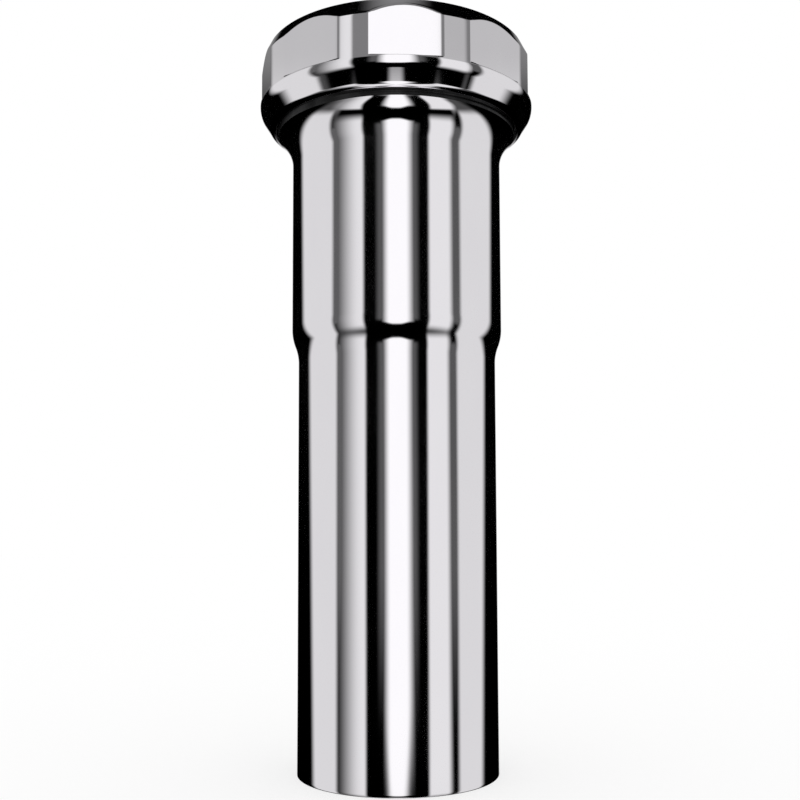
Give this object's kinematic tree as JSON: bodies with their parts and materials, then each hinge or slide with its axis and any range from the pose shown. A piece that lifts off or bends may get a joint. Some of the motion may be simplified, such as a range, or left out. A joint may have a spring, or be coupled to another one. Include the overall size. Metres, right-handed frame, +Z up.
{
  "type": "basin waste tail pipe",
  "caption": "Chrome slip-joint extension tube: plain tail, stepped socket, flared threaded collar, bevelled washer and a faceted slip nut that clamps the incoming pipe.",
  "frame": {"origin": "centre of the plain end of the tube, on the surface that it stands on", "axes": "+Z up the tube's axis, from the plain end to the mouth of the slip nut"},
  "size_m": [0.0532, 0.0532, 0.1388],
  "materials": {
    "tube_chrome": "bright chrome plate outside, bare brass inside",
    "washer_rubber": "matt black moulded rubber",
    "nut_chrome": "bright chrome plate"
  },
  "bodies": {
    "tube": {"extension_tube": "tube_chrome"},
    "washer": {"slip_washer": "washer_rubber"},
    "nut": {"slip_nut": "nut_chrome"}
  },
  "joints": [
    {"name": "washer_lift", "type": "slide", "parent": "tube", "child": "washer", "axis": [0, 0, 1], "range_m": [0, 0.00553]},
    {"name": "nut_turn", "type": "hinge", "parent": "washer", "child": "nut", "pos_m": [0, 0, 0.13], "axis": [0, 0, 1], "range_deg": [0, 900]}
  ],
  "couplings": [
    {"joint": "washer_lift", "follows": "nut_turn", "m_per_rad": 0.00035152}
  ]
}
